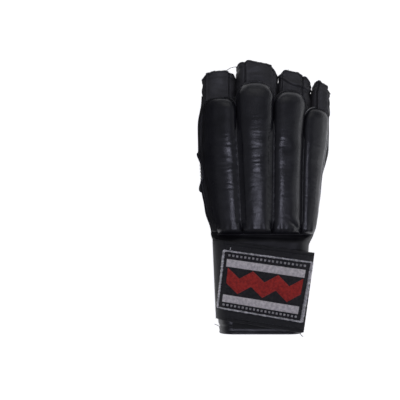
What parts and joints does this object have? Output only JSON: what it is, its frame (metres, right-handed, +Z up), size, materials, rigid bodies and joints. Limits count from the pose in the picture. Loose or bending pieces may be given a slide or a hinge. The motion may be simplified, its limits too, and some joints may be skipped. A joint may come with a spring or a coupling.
{
  "type": "padded bag glove",
  "caption": "Padded striking glove for the right hand: padded back rolls along the fingers, open finger stalls, padded wrist cuff and a wrap-over hook-and-loop strap with a woven label.",
  "frame": {"origin": "under the middle of the glove as it lies palm down: the middle of its width and length, on the surface the palm rests on", "axes": "+X towards the little-finger side, +Y from the wrist to the fingertips, +Z up out of the back of the hand"},
  "size_m": [0.1144, 0.2394, 0.0412],
  "materials": {
    "leather": "semi-gloss grained leather",
    "soft_leather": "matte thin leather",
    "foam": "closed-cell foam",
    "binding": "folded leather edge",
    "lining": "knitted lining cloth",
    "thread": "twisted thread",
    "strap": "heavy woven tape",
    "hook_and_loop": "hook and loop tape",
    "label_grey": "overlocked and woven pale grey yarn",
    "label_black": "woven label ground",
    "label_red": "woven red yarn"
  },
  "bodies": {
    "hand": {"palm_panel": "soft_leather", "thumb_side_gusset": "leather", "little_side_gusset": "leather", "thumb_opening_binding": "binding", "back_lining": "lining", "index_foam_roll": "foam", "index_pad_cover": "leather", "middle_foam_roll": "foam", "middle_pad_cover": "leather", "ring_foam_roll": "foam", "ring_pad_cover": "leather", "little_foam_roll": "foam", "little_pad_cover": "leather", "channel_seam_cords": "thread", "thumb_side_piping": "binding", "little_side_piping": "binding", "wrist_lining": "lining"},
    "index_finger": {"index_stall_back": "soft_leather", "index_stall_palm": "soft_leather", "index_fourchettes": "soft_leather", "index_hem": "binding"},
    "middle_finger": {"middle_stall_back": "soft_leather", "middle_stall_palm": "soft_leather", "middle_fourchettes": "soft_leather", "middle_hem": "binding"},
    "ring_finger": {"ring_stall_back": "soft_leather", "ring_stall_palm": "soft_leather", "ring_fourchettes": "soft_leather", "ring_hem": "binding"},
    "little_finger": {"little_stall_back": "soft_leather", "little_stall_palm": "soft_leather", "little_fourchettes": "soft_leather", "little_hem": "binding"},
    "cuff": {"cuff_shell": "leather", "cuff_padding": "foam", "cuff_lining": "lining", "cuff_mouth_binding": "leather", "cuff_hem_binding": "leather", "wrist_gore": "lining", "loop_panel": "hook_and_loop", "strap_root": "strap"},
    "strap": {"strap_flap": "strap", "strap_edge_binding": "binding", "hook_patch": "hook_and_loop", "label_border": "label_grey", "label_backing": "label_black", "label_light_bands": "label_grey", "label_red_band": "label_red"}
  },
  "joints": [
    {"name": "wrist_flex", "type": "hinge", "parent": "hand", "child": "cuff", "pos_m": [0, -0.036, 0.029], "axis": [1, 0, 0], "range_deg": [-20, 20]},
    {"name": "strap_peel", "type": "hinge", "parent": "cuff", "child": "strap", "pos_m": [-0.0456, -0.0385, 0.01725], "axis": [0.0441, -0.999, 0], "range_deg": [0, 150]},
    {"name": "index_flex", "type": "hinge", "parent": "hand", "child": "index_finger", "pos_m": [-0.0398, 0.088, 0.00075], "axis": [-1, 0, 0], "range_deg": [0, 75]},
    {"name": "middle_flex", "type": "hinge", "parent": "hand", "child": "middle_finger", "pos_m": [-0.00805, 0.088, 0.00075], "axis": [-1, 0, 0], "range_deg": [0, 75]},
    {"name": "ring_flex", "type": "hinge", "parent": "hand", "child": "ring_finger", "pos_m": [0.02675, 0.086, 0.00075], "axis": [-1, 0, 0], "range_deg": [0, 75]},
    {"name": "little_flex", "type": "hinge", "parent": "hand", "child": "little_finger", "pos_m": [0.0493, 0.0805, 0.00075], "axis": [-1, 0, 0], "range_deg": [0, 75]}
  ]
}
